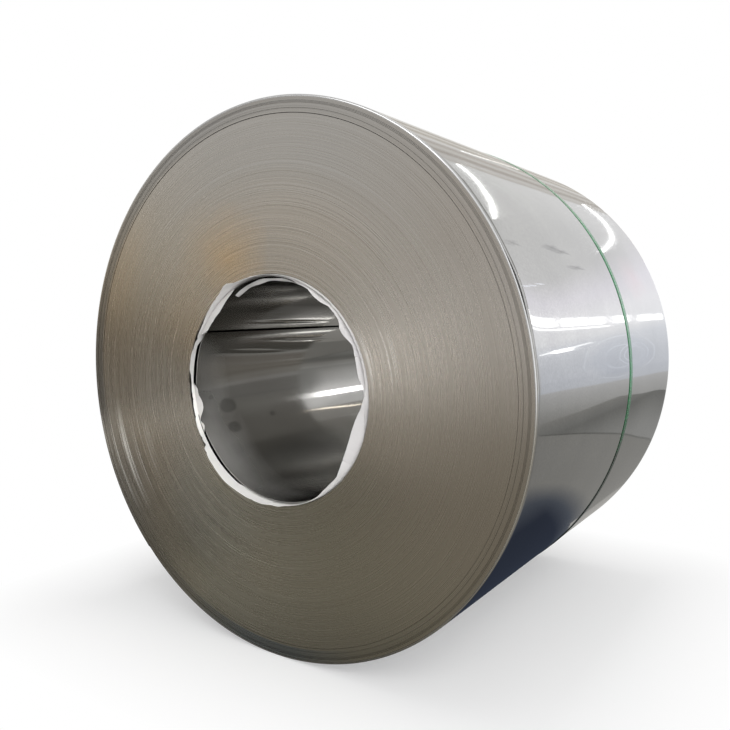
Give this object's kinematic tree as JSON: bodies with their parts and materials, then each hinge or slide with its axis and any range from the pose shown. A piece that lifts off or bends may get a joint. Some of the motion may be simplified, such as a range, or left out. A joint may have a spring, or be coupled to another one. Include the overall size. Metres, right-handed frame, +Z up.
{
  "type": "steel coil",
  "caption": "Coil of bright steel strip lying on its side with an open eye, torn interleaf paper round the eye and a green strap round the belly.",
  "frame": {"origin": "on the floor under the middle of the lying coil: the lowest point of the strap, centred left to right and front to back", "axes": "+Z up; Y along the axis of the coil, with the papered front end towards -Y and the plain back end towards +Y; +X to the right seen from the front"},
  "size_m": [1.2225, 1.025, 1.2226],
  "materials": {
    "steel": "bright cold-rolled strip, glossy on the outer wrap and finely lined by its turns on the ends",
    "paper": "thin torn interleaf paper, matt off-white",
    "strap": "embossed green polyester strapping, satin"
  },
  "bodies": {
    "root": {"coil": "steel", "interleaf_paper": "paper", "strap": "strap"}
  },
  "joints": []
}
